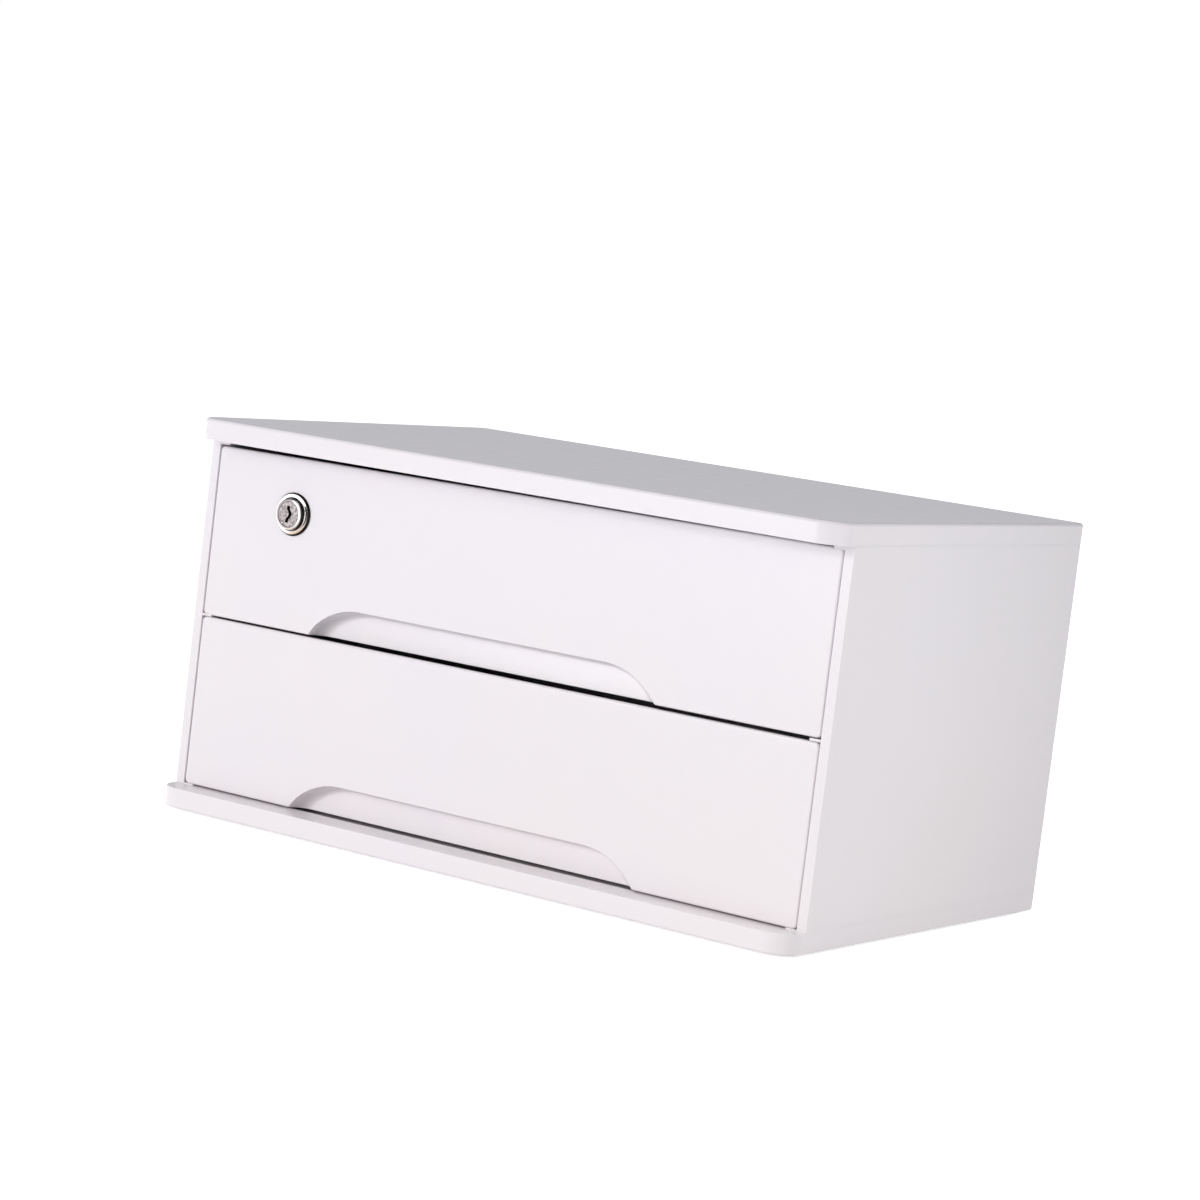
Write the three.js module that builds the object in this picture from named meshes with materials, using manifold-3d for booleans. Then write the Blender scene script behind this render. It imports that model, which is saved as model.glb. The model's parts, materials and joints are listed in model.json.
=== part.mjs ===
// Desktop file drawer: a moulded two-drawer cabinet with a cam lock on its upper drawer.
// Millimetres, +Z up, front towards -Y. The origin is on the desk, under the middle of the cabinet.

import * as THREE from 'three';
import { mergeVertices } from 'three/addons/utils/BufferGeometryUtils.js';
import Module from 'manifold-3d';

const wasm = await Module();
wasm.setup();

// Housing, outside
const housingWidth = 380;
const housingDepth = 250;
const housingHeight = 200;
const frontOverhang = 16;
const topBandHeight = 10.8;
const baseBandHeight = 10.4;
const bandCornerRadius = 14;
const rearCornerRadius = 12;
const rearBottomRadius = 8;
const edgeRadius = 1.5;

// Housing, walls
const sideWall = 3;
const skinWall = 3;
const frontRimWidth = 5;
const frontRimDepth = 5;
const headerDepth = 19.8;
const rearBarDepth = 15;
const rearFlange = 2.2;
const rearFlangeWidth = 15;
const ribWall = 2;
const stopInward = 6;
const hookWall = 1.5;
const hookLength = 20;
const hookRoot = 7;
const hookReach = 5.5;

// Gaps
const fitGap = 0.3;
const seatGap = 0.1;
const turnGap = 0.15;
const gapUnderLowerFront = 1;
const gapBetweenFronts = 1.8;
const gapOverUpperFront = 2.8;
const gapBesideFront = 0.8;
const gapStepDepth = 1.4;
const overrun = 2;

// Drawer fronts
const frontDepth = 12.2;
const frontSkin = 2.6;
const frontWall = 2.2;
const frontEdgeRadius = 1.2;
const frontCornerRadius = 2.4;
const frontRibWall = 1.6;
const frontRibDrop = 5;
const pullCentre = -11;
const pullFlatHalf = 74;
const pullHeight = 15.6;
const pullRadius = 38.5;
const pullTopDepth = 10;
const pullBottomDepth = 8.6;
const pullSideDraw = 5;
const pullTopDraw = 3;
const pullWall = 1.8;

// Drawer trays
const trayWall = 2;
const trayFloor = 2.2;
const trayTopGap = 1;
const traySideGap = 0.8;
const trayCornerRadius = 6;
const trayDraft = 0.6;
const trayLift = 2.6;
const trayRearGap = 1;
const drawerTravel = 160;
const lugLength = 6;
const lugHeight = 10;
const lugLift = 8;

// Rails and glides
const railWidth = 9.7;
const glideWidth = 7.9;
const railThickness = 3;
const railWeb = 1.6;
const railWebHeight = 8;
const railFrontGap = 0.6;
const railRearGap = 5;
const railGussetWall = 1.5;
const pegRadius = 2.5;
const pegLength = 1.7;

// Back panel
const backThickness = 2.5;
const backInset = 2.5;
const backPanelOverlap = 5.5;
const backPanelMargin = 12;
const backPanelRecess = 0.8;
const backTabWidth = 24;
const backTabDrop = 4.5;
const backBossWidth = 11;
const backBossDepth = 12;
const backScrewInset = 37;

// Feet
const footRadius = 7;
const footThickness = 2.4;
const footStand = 1.5;
const footBossRadius = 10;
const footInsetX = 26;
const footInsetY = 26;
const footTaper = 0.8;

// Screws
const screwShankRadius = 1.7;
const screwHeadRadius = 3.5;
const screwHeadHeight = 2.2;
const screwLength = 10;
const screwBossRadius = 3.8;
const screwRowLow = 26;
const screwBelowTop = 20;
const screwInset = 22;
const driveSlotWidth = 1;
const driveSlotLength = 4;
const driveSlotDepth = 1;

// Lock
const lockFromLeft = 57;
const lockBelowTop = 28.6;
const flangeRadius = 11;
const flangeThickness = 1.1;
const collarRadius = 8.2;
const collarFaceRadius = 7.2;
const lockProtrusion = 4.3;
const barrelRadius = 8.9;
const barrelFlat = 8.1;
const barrelTail = 19.9;
const plugRadius = 6.4;
const keywayHeight = 8.4;
const keywayWidth = 1.8;
const keywayWave = 1.3;
const keywayDepth = 9;
const lockBossRadius = 11.4;
const nutAcrossFlats = 22;
const nutThickness = 3.5;
const tailSide = 6;
const tailLength = 4.4;
const camThickness = 2;
const camReach = 35;
const camHubRadius = 7.5;
const camTipRadius = 5;
const washerRadius = 4.8;
const washerThickness = 0.8;
const camScrewShank = 1.6;
const camScrewHead = 4;
const camScrewHeadHeight = 1.8;
const camScrewLength = 8;

// Levels and planes that follow from the sizes above, measured from the bottom of the housing
const frontPlane = -housingDepth / 2 + frontOverhang;
const underTopBand = housingHeight - topBandHeight;
const ceiling = housingHeight - skinWall;
const allGaps = gapUnderLowerFront + gapBetweenFronts + gapOverUpperFront;
const frontHeight = (underTopBand - baseBandHeight - allGaps) / 2;
const lowerFrontBottom = baseBandHeight + gapUnderLowerFront;
const lowerFrontTop = lowerFrontBottom + frontHeight;
const upperFrontBottom = lowerFrontTop + gapBetweenFronts;
const upperFrontTop = upperFrontBottom + frontHeight;
const innerHalf = housingWidth / 2 - sideWall;
const screwRowHigh = frontHeight - screwBelowTop;
const lockAboveFront = frontHeight - lockBelowTop;
const rimHalf = housingWidth / 2 - frontRimWidth;
const frontHalf = rimHalf - gapBesideFront;
const screwColumn = frontHalf - screwInset;
const backColumn = innerHalf - backScrewInset;
const trayHalf = rimHalf - traySideGap;
const rimBack = frontPlane + frontRimDepth;
const backPanelRear = housingDepth / 2 - backInset;
const backPanelFront = backPanelRear - backThickness;
const headerRear = frontPlane + headerDepth;
const trayStart = frontDepth + fitGap;
const trayEnd = backPanelFront - trayRearGap - frontPlane;
const trayFrontInside = trayStart + trayWall;
const railTopUnderTray = trayLift - fitGap;
const railDrop = railThickness + railWebHeight - railTopUnderTray;
const trayTop = frontHeight + gapBetweenFronts - railDrop - trayTopGap;
const lugFront = rimBack + drawerTravel + fitGap - frontPlane;
const lockX = -housingWidth / 2 + lockFromLeft;
const barrelRear = barrelTail;
const camFront = barrelRear + fitGap;
const nutRadius = nutAcrossFlats / Math.sqrt(3);

const arcSteps = 8;
const roundSteps = 32;
const smallSteps = 12;
const smallRadius = 4.5;

const white = { color: 0xefedf0, roughness: 0.35, metalness: 0 };
const innerWhite = { color: 0xe6e4e6, roughness: 0.5, metalness: 0 };
const milky = { color: 0xe9e8e2, roughness: 0.4, metalness: 0 };
const rubber = { color: 0x4a4a4c, roughness: 0.9, metalness: 0 };
const zinc = { color: 0xb9bbbf, roughness: 0.35, metalness: 1 };
const chrome = { color: 0xd6d4d2, roughness: 0.12, metalness: 1 };
const satin = { color: 0xb8b0ae, roughness: 0.4, metalness: 1 };

// A closed solid for joining and cutting.
function solid(geometry) {
  const bare = geometry.clone();
  bare.deleteAttribute('normal');
  bare.deleteAttribute('uv');
  const merged = mergeVertices(bare);
  const vertProperties = new Float32Array(merged.attributes.position.array);
  const triVerts = new Uint32Array(merged.index.array);
  return new wasm.Manifold(new wasm.Mesh({ numProp: 3, vertProperties, triVerts }));
}

function geometryOf(body) {
  const mesh = body.getMesh();
  const geometry = new THREE.BufferGeometry();
  geometry.setAttribute('position', new THREE.BufferAttribute(mesh.vertProperties, 3));
  geometry.setIndex(new THREE.BufferAttribute(mesh.triVerts, 1));
  geometry.computeVertexNormals();
  return geometry;
}

function join(first, ...others) {
  return geometryOf(others.reduce((body, other) => body.add(solid(other)), solid(first)));
}

function cut(first, ...tools) {
  return geometryOf(tools.reduce((body, tool) => body.subtract(solid(tool)), solid(first)));
}

function common(first, second) {
  return geometryOf(solid(first).intersect(solid(second)));
}

function block(x0, x1, y0, y1, z0, z1) {
  const geometry = new THREE.BoxGeometry(x1 - x0, y1 - y0, z1 - z0);
  return geometry.translate((x0 + x1) / 2, (y0 + y1) / 2, (z0 + z1) / 2);
}

// A rectangle with a radius at each corner, in the order low-left, low-right, high-right, high-left.
function roundedRectangle(u0, u1, v0, v1, radii) {
  const [a, b, c, d] = radii;
  const shape = new THREE.Shape();
  shape.moveTo(u0 + a, v0);
  shape.lineTo(u1 - b, v0);
  if (b > 0) shape.absarc(u1 - b, v0 + b, b, -Math.PI / 2, 0, false);
  shape.lineTo(u1, v1 - c);
  if (c > 0) shape.absarc(u1 - c, v1 - c, c, 0, Math.PI / 2, false);
  shape.lineTo(u0 + d, v1);
  if (d > 0) shape.absarc(u0 + d, v1 - d, d, Math.PI / 2, Math.PI, false);
  shape.lineTo(u0, v0 + a);
  if (a > 0) shape.absarc(u0 + a, v0 + a, a, Math.PI, 1.5 * Math.PI, false);
  return shape;
}

// A prism that stands on an x-y outline, with its edges rounded by an optional radius.
function prismUp(shape, z0, z1, radius = 0) {
  const geometry = new THREE.ExtrudeGeometry(shape, {
    depth: z1 - z0 - 2 * radius,
    curveSegments: arcSteps,
    bevelEnabled: radius > 0,
    bevelThickness: radius,
    bevelSize: radius,
    bevelOffset: -radius,
    bevelSegments: 3,
  });
  return geometry.translate(0, 0, z0 + radius);
}

// A prism that runs back along y from an x-z outline.
function prismBack(shape, y0, y1, radius = 0) {
  return prismUp(shape, -y1, -y0, radius).rotateX(Math.PI / 2);
}

// A prism that runs along x from a y-z outline.
function prismAcross(shape, x0, x1) {
  const turn = new THREE.Matrix4().makeBasis(
    new THREE.Vector3(0, 1, 0),
    new THREE.Vector3(0, 0, 1),
    new THREE.Vector3(1, 0, 0),
  );
  return prismUp(shape, x0, x1).applyMatrix4(turn);
}

function stepsFor(radius) {
  return radius < smallRadius ? smallSteps : roundSteps;
}

function roundBack(radius, y0, y1, x = 0, z = 0) {
  const geometry = new THREE.CylinderGeometry(radius, radius, y1 - y0, stepsFor(radius));
  return geometry.translate(x, (y0 + y1) / 2, z);
}

function roundUp(radiusLow, radiusHigh, z0, z1, x = 0, y = 0) {
  const geometry = new THREE.CylinderGeometry(radiusHigh, radiusLow, z1 - z0, stepsFor(radiusLow));
  return geometry.rotateX(Math.PI / 2).translate(x, y, (z0 + z1) / 2);
}

function roundAcross(radius, x0, x1, y, z) {
  const geometry = new THREE.CylinderGeometry(radius, radius, x1 - x0, stepsFor(radius));
  return geometry.rotateZ(Math.PI / 2).translate((x0 + x1) / 2, y, z);
}

// A closed skin over a stack of convex rings that have the same number of points.
function loft(rings) {
  const count = rings[0].length;
  const positions = rings.flat().flatMap((point) => [point.x, point.y, point.z]);
  const index = [];
  for (let ring = 0; ring < rings.length - 1; ring += 1) {
    for (let i = 0; i < count; i += 1) {
      const a = ring * count + i;
      const b = ring * count + ((i + 1) % count);
      index.push(a, b, b + count, a, b + count, a + count);
    }
  }
  const last = (rings.length - 1) * count;
  for (let i = 1; i < count - 1; i += 1) {
    index.push(0, i + 1, i);
    index.push(last, last + i, last + i + 1);
  }
  const geometry = new THREE.BufferGeometry();
  geometry.setAttribute('position', new THREE.Float32BufferAttribute(positions, 3));
  geometry.setIndex(index);
  return geometry;
}

// A level ring of points round a rectangle with equal corner radii.
function roundedRing(x0, x1, y0, y1, radius, z) {
  const steps = arcSteps / 2;
  const centres = [
    [x1 - radius, y0 + radius, -Math.PI / 2],
    [x1 - radius, y1 - radius, 0],
    [x0 + radius, y1 - radius, Math.PI / 2],
    [x0 + radius, y0 + radius, Math.PI],
  ];
  return centres.flatMap(([x, y, start]) => {
    return Array.from({ length: steps + 1 }, (_, i) => {
      const angle = start + ((Math.PI / 2) * i) / steps;
      return new THREE.Vector3(x + radius * Math.cos(angle), y + radius * Math.sin(angle), z);
    });
  });
}

// The same stretch of x on either side of the middle, lowest end first.
function between(side, near, far) {
  return side < 0 ? [-far, -near] : [near, far];
}

function mesh(name, geometry, finish) {
  const part = new THREE.Mesh(geometry, new THREE.MeshStandardMaterial(finish));
  part.name = name;
  return part;
}

// The places that repeat
const sides = [['left', -1], ['right', 1]];
const backScrewColumns = [-backColumn, 0, backColumn];
const backBossMiddle = ceiling - backBossWidth / 2;
const footX = housingWidth / 2 - footInsetX;
const footY = housingDepth / 2 - footInsetY;
const feet = [
  ['front_left', -footX, -footY],
  ['front_right', footX, -footY],
  ['rear_left', -footX, footY],
  ['rear_right', footX, footY],
];
const frontScrews = [
  ['low_left', -screwColumn, screwRowLow],
  ['low_right', screwColumn, screwRowLow],
  ['high_left', -screwColumn, screwRowHigh],
  ['high_right', screwColumn, screwRowHigh],
];
const railStart = frontPlane + trayStart + trayWall + railFrontGap;
const railEnd = backPanelFront - railRearGap;
const railLength = railEnd - railStart;
const pegShares = [0.1, 0.5, 0.9];
const hookShares = [0.2, 0.6, 0.8];
const upperRailTop = upperFrontBottom + railTopUnderTray;
const upperRailBottom = upperRailTop - railThickness;
const pegLevel = upperRailBottom - railWebHeight / 2;
const glideMiddle = innerHalf - fitGap - railWidth + glideWidth / 2;

// Housing
function outerBlock() {
  const half = housingWidth / 2;
  const radii = [bandCornerRadius, bandCornerRadius, rearCornerRadius, rearCornerRadius];
  const plan = roundedRectangle(-half, half, -housingDepth / 2, housingDepth / 2, radii);
  const tall = prismUp(plan, 0, housingHeight, edgeRadius);
  const rear = housingDepth / 2 + overrun;
  const radius = rearBottomRadius;
  const profile = roundedRectangle(-rear, housingDepth / 2, 0, housingHeight + overrun, [0, radius, 0, 0]);
  return common(tall, prismAcross(profile, -half - overrun, half + overrun));
}

// Cored-out underside of the top band, ahead of the header and above the drawer fronts.
function bandPockets() {
  const count = 10;
  const pitch = (2 * innerHalf + ribWall) / count;
  const rows = [
    [-housingDepth / 2 + skinWall, frontPlane - skinWall / 2],
    [frontPlane + skinWall / 2, headerRear - skinWall],
  ];
  const pockets = [];
  for (const [y0, y1] of rows) {
    for (let i = 0; i < count; i += 1) {
      const x0 = -innerHalf + i * pitch;
      const x1 = x0 + pitch - ribWall;
      const corner = bandCornerRadius - skinWall;
      const atLeft = i === 0 && y0 < frontPlane ? corner : 0;
      const atRight = i === count - 1 && y0 < frontPlane ? corner : 0;
      const plan = roundedRectangle(x0, x1, y0, y1, [atLeft, atRight, 0, 0]);
      pockets.push(prismUp(plan, underTopBand - overrun, ceiling));
    }
  }
  return pockets;
}

// Ribbed underside of the floor: what is cut away between the ribs.
function floorPockets() {
  const columns = 10;
  const pitchX = (2 * innerHalf + ribWall) / columns;
  const y0 = -housingDepth / 2 + bandCornerRadius;
  const y1 = housingDepth / 2 - rearBarDepth;
  const rows = 2;
  const pitchY = (y1 - y0 + ribWall) / rows;
  const top = baseBandHeight - skinWall;
  const pockets = [];
  for (let i = 0; i < columns; i += 1) {
    for (let j = 0; j < rows; j += 1) {
      const x = -innerHalf + i * pitchX;
      const y = y0 + j * pitchY;
      pockets.push(block(x, x + pitchX - ribWall, y, y + pitchY - ribWall, -overrun, top));
    }
  }
  return pockets;
}

// Small stops at the side's ends of the gaps over, between and under the drawer fronts.
function gapStops(side) {
  const levels = [
    [baseBandHeight, lowerFrontBottom - fitGap],
    [lowerFrontTop + fitGap, upperFrontBottom - fitGap],
    [upperFrontTop + fitGap, underTopBand],
  ];
  const [low, high] = between(side, rimHalf - stopInward, rimHalf + ribWall);
  return levels.map(([z0, z1]) => block(low, high, frontPlane + seatGap, rimBack - seatGap, z0, z1));
}

function backBosses() {
  const half = backBossWidth / 2;
  const y0 = backPanelFront - backBossDepth;
  return backScrewColumns.map((x) => {
    return block(x - half, x + half, y0, backPanelFront, backBossMiddle - half, ceiling + ribWall);
  });
}

function backScrewHoles() {
  const y0 = backPanelFront - screwLength - fitGap;
  return backScrewColumns.map((x) => {
    return roundBack(screwShankRadius + fitGap, y0, backPanelFront + overrun, x, backBossMiddle);
  });
}

function backTabSlots() {
  const half = backTabWidth / 2 + fitGap;
  const bottom = baseBandHeight - backTabDrop - fitGap;
  return backScrewColumns.map((x) => {
    return block(x - half, x + half, backPanelFront, backPanelRear + fitGap, bottom, baseBandHeight + overrun);
  });
}

function pegSockets(side) {
  const [low, high] = between(side, innerHalf - overrun, innerHalf + pegLength);
  return pegShares.map((share) => {
    return roundAcross(pegRadius + fitGap, low, high, railStart + share * railLength, pegLevel);
  });
}

function glideSockets(side) {
  const x = side * glideMiddle;
  const bottom = baseBandHeight - pegLength - fitGap;
  const radius = pegRadius + fitGap;
  return pegShares.map((share) => {
    return roundUp(radius, radius, bottom, baseBandHeight + overrun, x, railStart + share * railLength);
  });
}

// All panels are taken out of one rounded block, so that they meet flush.
const housingBlock = outerBlock();

function housingSlice(x0, x1, y0, z0, z1) {
  return common(housingBlock, block(x0, x1, y0, housingDepth / 2 + overrun, z0, z1));
}

// A slab of the housing over its whole width and depth, the front bands included.
function housingSlab(z0, z1) {
  const half = housingWidth / 2 + overrun;
  return housingSlice(-half, half, -housingDepth / 2 - overrun, z0, z1);
}

// The room inside the walls, from a plane behind the front to the flange at the rear.
function roomPrism(front, z0, z1) {
  const corner = rearCornerRadius - sideWall;
  const rear = housingDepth / 2 - rearFlange;
  const plan = roundedRectangle(-innerHalf, innerHalf, front, rear, [0, 0, corner, corner]);
  return prismUp(plan, z0, z1);
}

function rearOpening(z0, z1) {
  const half = innerHalf - rearFlangeWidth;
  return block(-half, half, backPanelFront, housingDepth / 2 + overrun, z0, z1);
}

// Hooks that stand on the edge of a side panel and snap in behind the skirt of the next panel.
function hookPlaces(side) {
  const [low, high] = between(side, innerHalf - fitGap - hookWall, innerHalf - fitGap);
  return hookShares.map((share) => [low, high, railStart + share * railLength]);
}

function hooks(side, seam, upward) {
  const [rootLow, rootHigh] = between(side, innerHalf - fitGap - hookWall, innerHalf + ribWall);
  const [tipBottom, tipTop] = upward ? [seam - hookRoot, seam + hookReach] : [seam - hookReach, seam + hookRoot];
  const [rootBottom, rootTop] = upward ? [seam - hookRoot, seam] : [seam, seam + hookRoot];
  return hookPlaces(side).flatMap(([low, high, y]) => {
    const y0 = y - hookLength / 2;
    const y1 = y + hookLength / 2;
    return [block(low, high, y0, y1, tipBottom, tipTop), block(rootLow, rootHigh, y0, y1, rootBottom, rootTop)];
  });
}

function hookSlots(side) {
  return hookPlaces(side).map(([low, high, y]) => {
    const half = hookLength / 2 + fitGap;
    const z0 = baseBandHeight - skinWall - overrun;
    return block(low - fitGap, high + fitGap, y - half, y + half, z0, baseBandHeight + overrun);
  });
}

function topPanel() {
  const slab = housingSlab(underTopBand, housingHeight + overrun);
  const room = roomPrism(headerRear, underTopBand - overrun, ceiling);
  const opening = rearOpening(underTopBand - overrun, ceiling);
  return cut(join(cut(slab, room, opening, ...bandPockets()), ...backBosses()), ...backScrewHoles());
}

function basePanel() {
  const slab = cut(housingSlab(-overrun, baseBandHeight), ...floorPockets());
  const bossTop = baseBandHeight - ribWall;
  const bosses = feet.map(([, x, y]) => roundUp(footBossRadius, footBossRadius, 0, bossTop, x, y));
  const seatDepth = footThickness - footStand + fitGap;
  const seatRadius = footRadius + fitGap;
  const seats = feet.map(([, x, y]) => roundUp(seatRadius, seatRadius, -overrun, seatDepth, x, y));
  const slots = sides.flatMap(([, side]) => [...glideSockets(side), ...hookSlots(side)]);
  return cut(join(slab, ...bosses), ...backTabSlots(), ...slots, ...seats);
}

function sidePanel(side) {
  const [low, high] = between(side, rimHalf - stopInward - rearFlangeWidth, housingWidth / 2 + overrun);
  const slice = housingSlice(low, high, frontPlane, baseBandHeight, underTopBand);
  const under = baseBandHeight - overrun;
  const over = underTopBand + overrun;
  const mouth = block(-rimHalf, rimHalf, frontPlane - overrun, rimBack + overrun, under, over);
  const wall = cut(slice, mouth, roomPrism(rimBack, under, over), rearOpening(under, over));
  const topHooks = hooks(side, underTopBand, true);
  const baseHooks = hooks(side, baseBandHeight, false);
  return cut(join(wall, ...gapStops(side), ...topHooks, ...baseHooks), ...pegSockets(side));
}

function backPanel() {
  const half = innerHalf - rearFlangeWidth + backPanelOverlap;
  const bottom = baseBandHeight + fitGap;
  const top = ceiling - fitGap;
  const sheet = block(-half, half, backPanelFront, backPanelRear, bottom, top);
  const tabs = backScrewColumns.map((x) => {
    const halfTab = backTabWidth / 2;
    const front = backPanelFront + fitGap;
    return block(x - halfTab, x + halfTab, front, backPanelRear, baseBandHeight - backTabDrop, bottom + overrun);
  });
  const margin = rearFlangeWidth + backPanelMargin;
  const field = roundedRectangle(
    -half + margin,
    half - margin,
    bottom + margin,
    backBossMiddle - margin,
    Array(4).fill(backPanelMargin),
  );
  const recess = prismBack(field, backPanelRear - backPanelRecess, backPanelRear + overrun);
  const holes = backScrewColumns.map((x) => {
    const radius = screwShankRadius + fitGap;
    return roundBack(radius, backPanelFront - overrun, backPanelRear + overrun, x, backBossMiddle);
  });
  return cut(join(sheet, ...tabs), recess, ...holes);
}

// Rails: the upper drawer runs on a ledge that hangs on the side wall by three pegs.
function sideRail(side) {
  const wall = innerHalf - fitGap;
  const [ledgeLow, ledgeHigh] = between(side, wall - railWidth, wall);
  const [webLow, webHigh] = between(side, wall - railWeb, wall);
  const [pegLow, pegHigh] = between(side, wall - railWeb / 2, wall + pegLength);
  const webBottom = upperRailBottom - railWebHeight;
  const ledge = block(ledgeLow, ledgeHigh, railStart, railEnd, upperRailBottom, upperRailTop);
  const web = block(webLow, webHigh, railStart, railEnd, webBottom, upperRailTop);
  const gussets = [];
  const gussetCount = 7;
  const inner = side * (wall - railWidth + railWeb);
  for (let i = 0; i < gussetCount; i += 1) {
    const y = railStart + railWeb + ((railLength - 2 * railWeb - railGussetWall) * i) / (gussetCount - 1);
    const corner = new THREE.Shape();
    corner.moveTo(side * (wall - railWeb / 2), webBottom + railWeb);
    corner.lineTo(side * (wall - railWeb / 2), upperRailBottom + railWeb);
    corner.lineTo(inner, upperRailBottom + railWeb);
    corner.lineTo(inner, upperRailBottom - railWeb);
    gussets.push(prismBack(corner, y, y + railGussetWall));
  }
  const pegs = pegShares.map((share) => {
    return roundAcross(pegRadius, pegLow, pegHigh, railStart + share * railLength, pegLevel);
  });
  return join(ledge, web, ...gussets, ...pegs);
}

// The lower drawer runs on a strip that is pegged into the floor.
function floorGlide(side) {
  const [low, high] = between(side, glideMiddle - glideWidth / 2, glideMiddle + glideWidth / 2);
  const bottom = baseBandHeight + seatGap;
  const top = lowerFrontBottom + railTopUnderTray;
  const plan = roundedRectangle(low, high, railStart, railEnd, Array(4).fill(railWeb));
  const strip = prismUp(plan, bottom, top);
  const pegs = pegShares.map((share) => {
    const x = side * glideMiddle;
    const y = railStart + share * railLength;
    return roundUp(pegRadius, pegRadius, baseBandHeight - pegLength, top - railWeb / 2, x, y);
  });
  return join(strip, ...pegs);
}

function foot(x, y) {
  const top = footThickness - footStand;
  return roundUp(footRadius - footTaper, footRadius, -footStand, top, x, y);
}

// Pan-head screw along +y, with its seat at y = 0 and a cross recess in its head.
function panScrew(shank, head, headHeight, length) {
  const profile = [new THREE.Vector2(0, length)];
  profile.push(new THREE.Vector2(shank / 2, length));
  profile.push(new THREE.Vector2(shank, length - shank));
  profile.push(new THREE.Vector2(shank, 0));
  profile.push(new THREE.Vector2(head, 0));
  const steps = 3;
  for (let i = 0; i <= steps; i += 1) {
    const angle = (i / steps) * (Math.PI / 2);
    const reach = head / 2 + (head / 2) * Math.cos(angle);
    profile.push(new THREE.Vector2(reach, (-headHeight / 2) * (1 + Math.sin(angle))));
  }
  profile.push(new THREE.Vector2(0, -headHeight));
  const body = new THREE.LatheGeometry(profile.reverse(), smallSteps);
  const half = driveSlotLength / 2;
  const thin = driveSlotWidth / 2;
  const low = -headHeight - overrun;
  const high = -headHeight + driveSlotDepth;
  return cut(body, block(-half, half, low, high, -thin, thin), block(-thin, thin, low, high, -half, half));
}

// Outline of the finger pull: a flat top between two arcs that run out through the bottom edge.
function pullOutline(draw, wall) {
  const flat = pullFlatHalf - pullSideDraw * draw;
  const radius = pullRadius - pullTopDraw * draw + wall;
  const height = pullHeight - pullTopDraw * draw + wall;
  const centre = height - radius;
  const lowest = Math.asin((-overrun - centre) / radius);
  const points = [];
  for (const [, side] of sides) {
    for (let i = 0; i <= arcSteps; i += 1) {
      const step = side < 0 ? i : arcSteps - i;
      const angle = lowest + ((Math.PI / 2 - lowest) * step) / arcSteps;
      const x = side * (flat + radius * Math.cos(angle));
      points.push({ x: pullCentre + x, z: centre + radius * Math.sin(angle) });
    }
  }
  return points;
}

// The scoop behind that outline: its sides and top curve over into a back wall that leans forward.
function pullScoop(wall) {
  const depthAt = (z) => pullBottomDepth + ((pullTopDepth - pullBottomDepth) * z) / pullHeight + wall;
  const rings = [];
  const ahead = pullOutline(0, wall).map(({ x, z }) => new THREE.Vector3(x, -overrun, z));
  rings.push(ahead);
  const ringCount = 6;
  for (let i = 0; i < ringCount; i += 1) {
    const angle = ((Math.PI / 2) * i) / (ringCount - 1);
    const outline = pullOutline(1 - Math.cos(angle), wall);
    rings.push(outline.map(({ x, z }) => new THREE.Vector3(x, depthAt(z) * Math.sin(angle), z)));
  }
  return loft(rings);
}

function frontEnvelope() {
  const outline = roundedRectangle(-frontHalf, frontHalf, 0, frontHeight, Array(4).fill(frontCornerRadius));
  const block0 = prismBack(outline, 0, frontDepth + 2 * frontEdgeRadius, frontEdgeRadius);
  const wide = frontHalf + overrun;
  const rear = frontDepth + 2 * frontEdgeRadius + overrun;
  return cut(block0, block(-wide, wide, frontDepth, rear, -overrun, frontHeight + overrun));
}

// Drawer front: a shell that is open at the back, with ribs, screw bosses and the scooped pull.
function drawerFront(withLock) {
  const envelope = frontEnvelope();
  const inner = frontHalf - frontWall;
  const hollow = block(-inner, inner, frontSkin, frontDepth + overrun, frontWall, frontHeight + overrun);
  const ribs = [];
  const ribCount = 10;
  for (let i = 0; i < ribCount; i += 1) {
    const x = -screwColumn + (2 * screwColumn * i) / (ribCount - 1);
    const x0 = x - frontRibWall / 2;
    const top = frontHeight - frontRibDrop;
    ribs.push(block(x0, x0 + frontRibWall, frontSkin / 2, frontDepth - fitGap, frontWall / 2, top));
  }
  const steps = sides.map(([, side]) => {
    const [low, high] = between(side, frontHalf - frontWall, rimHalf - fitGap);
    return block(low, high, gapStepDepth, frontDepth, frontCornerRadius, frontHeight - frontCornerRadius);
  });
  const bosses = frontScrews.map(([, x, z]) => roundBack(screwBossRadius, frontSkin / 2, frontDepth, x, z));
  const screwTip = trayStart + trayWall - screwLength - fitGap;
  const holes = frontScrews.map(([, x, z]) => {
    return roundBack(screwShankRadius + fitGap, screwTip, frontDepth + overrun, x, z);
  });
  if (withLock) {
    bosses.push(roundBack(lockBossRadius, frontSkin / 2, frontDepth, lockX, lockAboveFront));
    holes.push(roundBack(barrelRadius + fitGap, -overrun, frontDepth + overrun, lockX, lockAboveFront));
  }
  const cup = common(pullScoop(pullWall), envelope);
  const filled = join(cut(envelope, hollow), ...steps, ...ribs, ...bosses, cup);
  return cut(filled, pullScoop(0), ...holes);
}

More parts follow.
